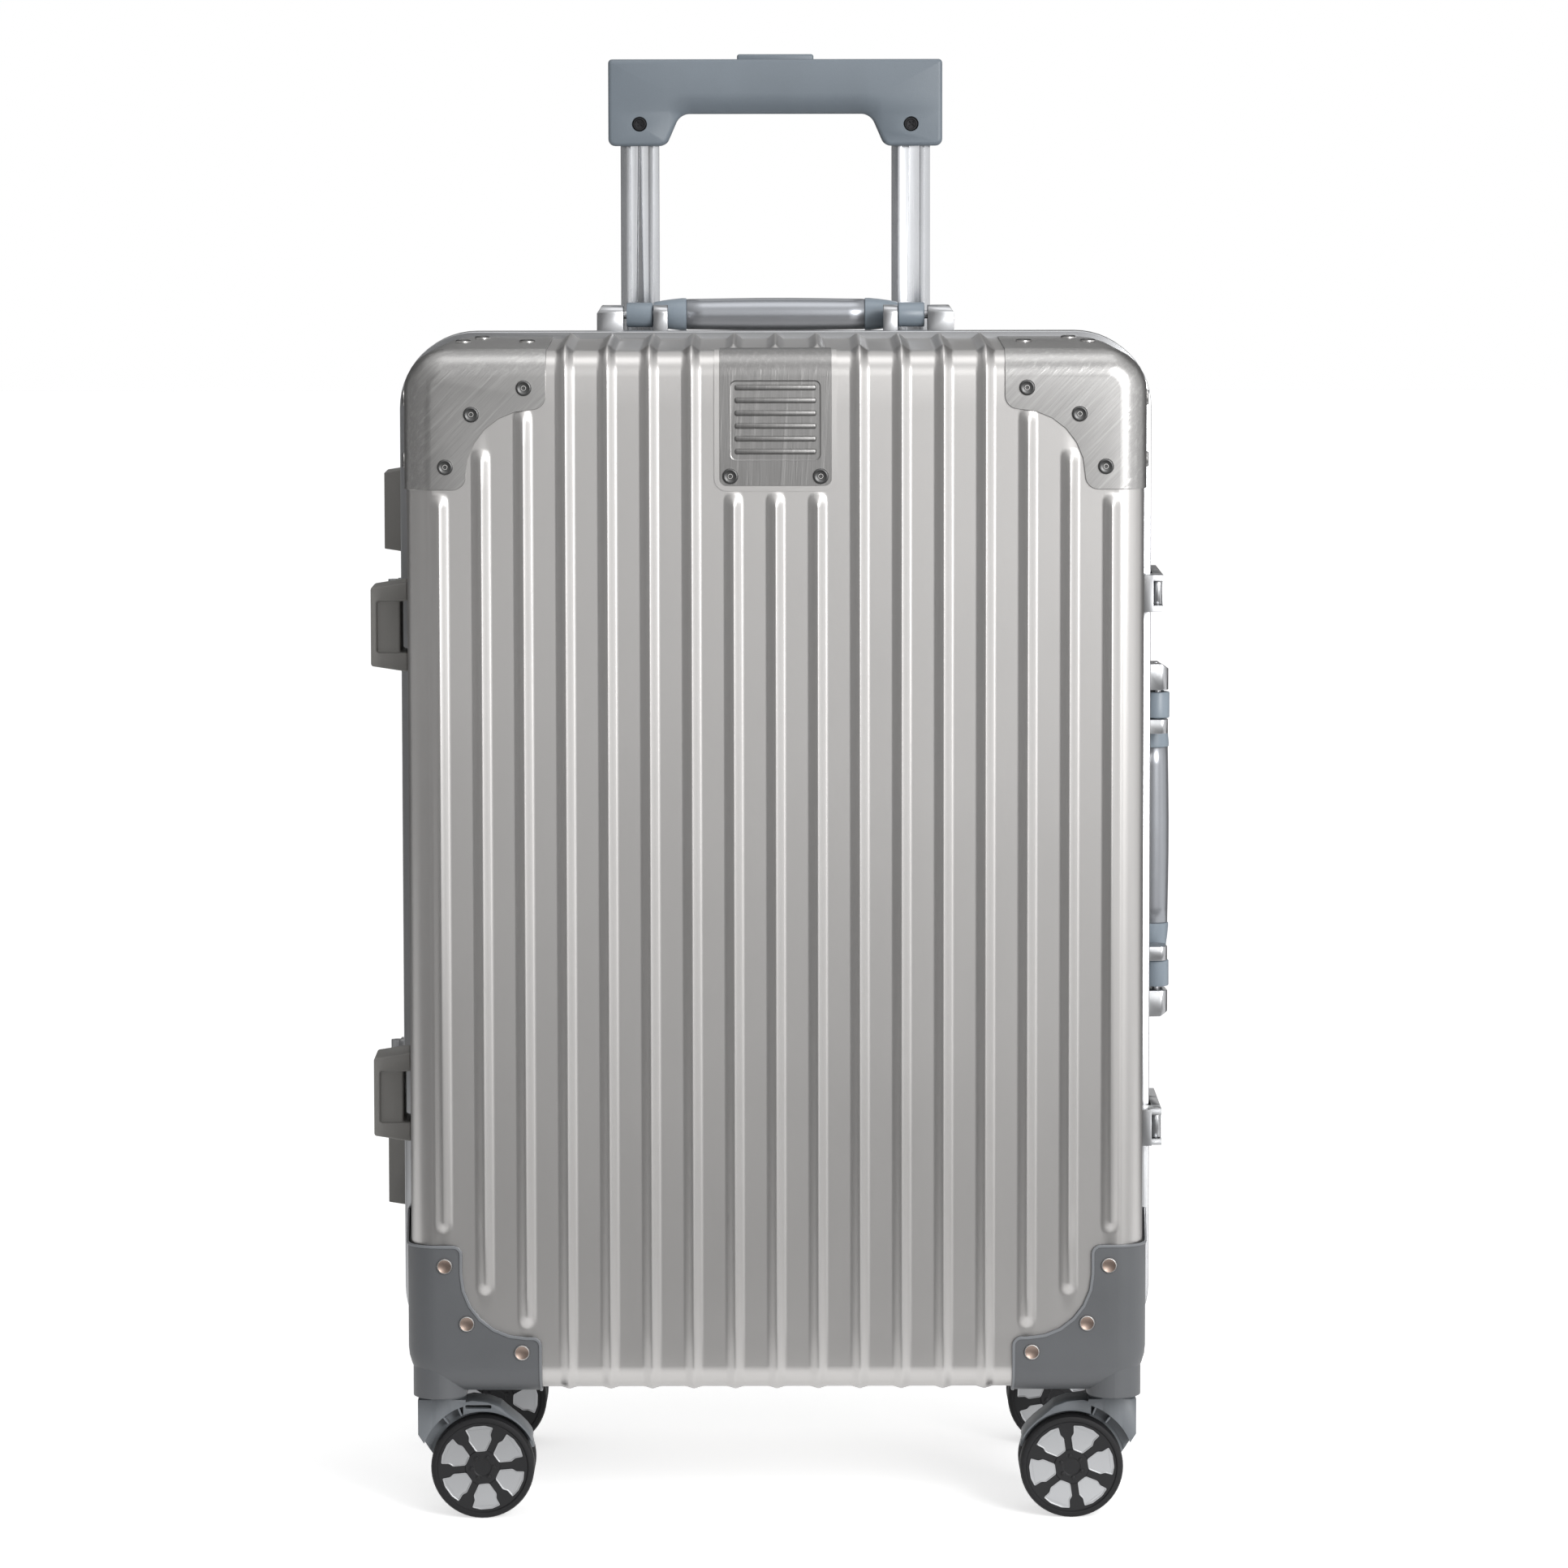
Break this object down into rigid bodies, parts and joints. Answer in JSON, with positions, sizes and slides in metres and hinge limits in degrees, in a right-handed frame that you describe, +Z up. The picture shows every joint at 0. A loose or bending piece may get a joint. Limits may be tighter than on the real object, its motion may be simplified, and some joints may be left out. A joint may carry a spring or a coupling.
{
  "type": "hard shell suitcase on wheels",
  "caption": "Upright hard shell cabin suitcase with ribbed silver shells, metal corner guards, a pull-out trolley handle, side latches and swivelling twin-wheel casters.",
  "frame": {"origin": "on the floor, under the middle of the closed case", "axes": "+Z up, -Y out of the front shell, +X towards the latches and the side handle"},
  "size_m": [0.393, 0.2308, 0.707],
  "materials": {
    "shell": "satin, bead blasted",
    "frame": "satin anodised",
    "seal": "matt",
    "fittings": "satin silver",
    "top_guard": "brushed",
    "lower_guard": "fine matt moulded",
    "rivets": "dark",
    "feet": "fine matt moulded",
    "tubes": "satin anodised",
    "rods": "plain",
    "handle_plastic": "fine matt moulded",
    "handle_grip": "satin metallic",
    "dials": "semi gloss",
    "lining": "woven polyester",
    "straps": "webbing",
    "fork": "fine matt moulded",
    "wheel": "matt rubber with silver inlays"
  },
  "bodies": {
    "rear_case": {"rear_shell": "shell", "rear_frame": "frame", "frame_seal": "seal", "rear_hinge_leaves": "fittings", "rear_top_guards": "top_guard", "rear_lower_guards": "lower_guard", "rear_rivets": "rivets", "rear_feet": "feet", "top_handle_brackets": "fittings", "side_handle_brackets": "fittings", "trolley_outer_tubes": "tubes", "trolley_bezel": "handle_plastic", "trolley_base": "lower_guard", "latch_bodies": "fittings", "rear_lining": "lining", "packing_straps": "straps", "strap_buckles": "straps"},
    "front_case": {"front_shell": "shell", "front_frame": "frame", "front_hinge_leaves": "fittings", "front_top_guards": "top_guard", "front_lower_guards": "lower_guard", "front_rivets": "rivets", "front_feet": "feet", "badge_plate": "top_guard", "front_lining": "lining", "lid_pocket": "lining", "latch_pivots": "fittings"},
    "lower_lever": {"lower_latch_lever": "fittings"},
    "upper_lever": {"upper_latch_lever": "fittings"},
    "trolley_mid": {"trolley_mid_tubes": "tubes"},
    "trolley_top": {"trolley_inner_tubes": "tubes", "trolley_grip": "handle_plastic", "grip_screws": "rivets"},
    "button": {"trolley_button": "handle_plastic", "release_rods": "rods"},
    "left_pin": {"left_lock_pin": "rods"},
    "right_pin": {"right_lock_pin": "rods"},
    "top_handle": {"top_handle_grip": "handle_grip", "top_handle_arms": "handle_plastic"},
    "side_handle": {"side_handle_grip": "handle_grip", "side_handle_arms": "handle_plastic"},
    "lower_dial_1_wheel": {"lower_dial_1": "dials"},
    "lower_dial_2_wheel": {"lower_dial_2": "dials"},
    "lower_dial_3_wheel": {"lower_dial_3": "dials"},
    "upper_dial_1_wheel": {"upper_dial_1": "dials"},
    "upper_dial_2_wheel": {"upper_dial_2": "dials"},
    "upper_dial_3_wheel": {"upper_dial_3": "dials"},
    "front_left_caster": {"front_left_fork": "fork"},
    "front_left_outer_roller": {"front_left_outer_wheel": "wheel"},
    "front_left_inner_roller": {"front_left_inner_wheel": "wheel"},
    "front_right_caster": {"front_right_fork": "fork"},
    "front_right_outer_roller": {"front_right_outer_wheel": "wheel"},
    "front_right_inner_roller": {"front_right_inner_wheel": "wheel"},
    "rear_left_caster": {"rear_left_fork": "fork"},
    "rear_left_outer_roller": {"rear_left_outer_wheel": "wheel"},
    "rear_left_inner_roller": {"rear_left_inner_wheel": "wheel"},
    "rear_right_caster": {"rear_right_fork": "fork"},
    "rear_right_outer_roller": {"rear_right_outer_wheel": "wheel"},
    "rear_right_inner_roller": {"rear_right_inner_wheel": "wheel"}
  },
  "joints": [
    {"name": "lid_hinge", "type": "hinge", "parent": "rear_case", "child": "front_case", "pos_m": [-0.188, 0, 0.3155], "axis": [0, 0, -1], "range_deg": [0, 145]},
    {"name": "lower_lever_hinge", "type": "hinge", "parent": "front_case", "child": "lower_lever", "pos_m": [0.187, -0.024, 0.18], "axis": [0, 0, -1], "range_deg": [0, 100]},
    {"name": "upper_lever_hinge", "type": "hinge", "parent": "front_case", "child": "upper_lever", "pos_m": [0.187, -0.024, 0.4435], "axis": [0, 0, -1], "range_deg": [0, 100]},
    {"name": "lower_dial_1_spin", "type": "hinge", "parent": "rear_case", "child": "lower_dial_1_wheel", "pos_m": [0.1858, 0.014, 0.18], "axis": [0, 1, 0], "continuous": true},
    {"name": "lower_dial_2_spin", "type": "hinge", "parent": "rear_case", "child": "lower_dial_2_wheel", "pos_m": [0.1858, 0.021, 0.18], "axis": [0, 1, 0], "continuous": true},
    {"name": "lower_dial_3_spin", "type": "hinge", "parent": "rear_case", "child": "lower_dial_3_wheel", "pos_m": [0.1858, 0.028, 0.18], "axis": [0, 1, 0], "continuous": true},
    {"name": "upper_dial_1_spin", "type": "hinge", "parent": "rear_case", "child": "upper_dial_1_wheel", "pos_m": [0.1858, 0.014, 0.4435], "axis": [0, 1, 0], "continuous": true},
    {"name": "upper_dial_2_spin", "type": "hinge", "parent": "rear_case", "child": "upper_dial_2_wheel", "pos_m": [0.1858, 0.021, 0.4435], "axis": [0, 1, 0], "continuous": true},
    {"name": "upper_dial_3_spin", "type": "hinge", "parent": "rear_case", "child": "upper_dial_3_wheel", "pos_m": [0.1858, 0.028, 0.4435], "axis": [0, 1, 0], "continuous": true},
    {"name": "trolley_mid_slide", "type": "slide", "parent": "rear_case", "child": "trolley_mid", "axis": [0, 0, 1], "range_m": [0, 0.2]},
    {"name": "trolley_top_slide", "type": "slide", "parent": "trolley_mid", "child": "trolley_top", "axis": [0, 0, 1], "range_m": [-0.09, 0.18]},
    {"name": "button_press", "type": "slide", "parent": "trolley_top", "child": "button", "axis": [0, 0, -1], "range_m": [0, 0.002], "stiffness_N_per_m": 600, "springref_m": -0.004},
    {"name": "left_pin_slide", "type": "slide", "parent": "trolley_top", "child": "left_pin", "axis": [1, 0, 0], "range_m": [0, 0.002]},
    {"name": "right_pin_slide", "type": "slide", "parent": "trolley_top", "child": "right_pin", "axis": [-1, 0, 0], "range_m": [0, 0.002]},
    {"name": "top_handle_swing", "type": "hinge", "parent": "rear_case", "child": "top_handle", "pos_m": [0, 0.03424, 0.57778], "axis": [1, 0, 0], "range_deg": [0, 100]},
    {"name": "side_handle_swing", "type": "hinge", "parent": "rear_case", "child": "side_handle", "pos_m": [0.19043, 0.03459, 0.3155], "axis": [0, 0, -1], "range_deg": [0, 100]},
    {"name": "front_left_swivel", "type": "hinge", "parent": "front_case", "child": "front_left_caster", "pos_m": [-0.1625, -0.083, 0.06], "axis": [0, 0, 1], "continuous": true},
    {"name": "front_left_outer_spin", "type": "hinge", "parent": "front_left_caster", "child": "front_left_outer_roller", "pos_m": [-0.1425, -0.083, 0.025], "axis": [0, 1, 0], "continuous": true},
    {"name": "front_left_inner_spin", "type": "hinge", "parent": "front_left_caster", "child": "front_left_inner_roller", "pos_m": [-0.1425, -0.083, 0.025], "axis": [0, 1, 0], "continuous": true},
    {"name": "front_right_swivel", "type": "hinge", "parent": "front_case", "child": "front_right_caster", "pos_m": [0.1625, -0.083, 0.06], "axis": [0, 0, 1], "continuous": true},
    {"name": "front_right_outer_spin", "type": "hinge", "parent": "front_right_caster", "child": "front_right_outer_roller", "pos_m": [0.1425, -0.083, 0.025], "axis": [0, 1, 0], "continuous": true},
    {"name": "front_right_inner_spin", "type": "hinge", "parent": "front_right_caster", "child": "front_right_inner_roller", "pos_m": [0.1425, -0.083, 0.025], "axis": [0, 1, 0], "continuous": true},
    {"name": "rear_left_swivel", "type": "hinge", "parent": "rear_case", "child": "rear_left_caster", "pos_m": [-0.1625, 0.083, 0.06], "axis": [0, 0, 1], "continuous": true},
    {"name": "rear_left_outer_spin", "type": "hinge", "parent": "rear_left_caster", "child": "rear_left_outer_roller", "pos_m": [-0.1425, 0.083, 0.025], "axis": [0, 1, 0], "continuous": true},
    {"name": "rear_left_inner_spin", "type": "hinge", "parent": "rear_left_caster", "child": "rear_left_inner_roller", "pos_m": [-0.1425, 0.083, 0.025], "axis": [0, 1, 0], "continuous": true},
    {"name": "rear_right_swivel", "type": "hinge", "parent": "rear_case", "child": "rear_right_caster", "pos_m": [0.1625, 0.083, 0.06], "axis": [0, 0, 1], "continuous": true},
    {"name": "rear_right_outer_spin", "type": "hinge", "parent": "rear_right_caster", "child": "rear_right_outer_roller", "pos_m": [0.1425, 0.083, 0.025], "axis": [0, 1, 0], "continuous": true},
    {"name": "rear_right_inner_spin", "type": "hinge", "parent": "rear_right_caster", "child": "rear_right_inner_roller", "pos_m": [0.1425, 0.083, 0.025], "axis": [0, 1, 0], "continuous": true}
  ],
  "couplings": [
    {"joint": "left_pin_slide", "follows": "button_press", "ratio": 1},
    {"joint": "right_pin_slide", "follows": "button_press", "ratio": 1}
  ]
}
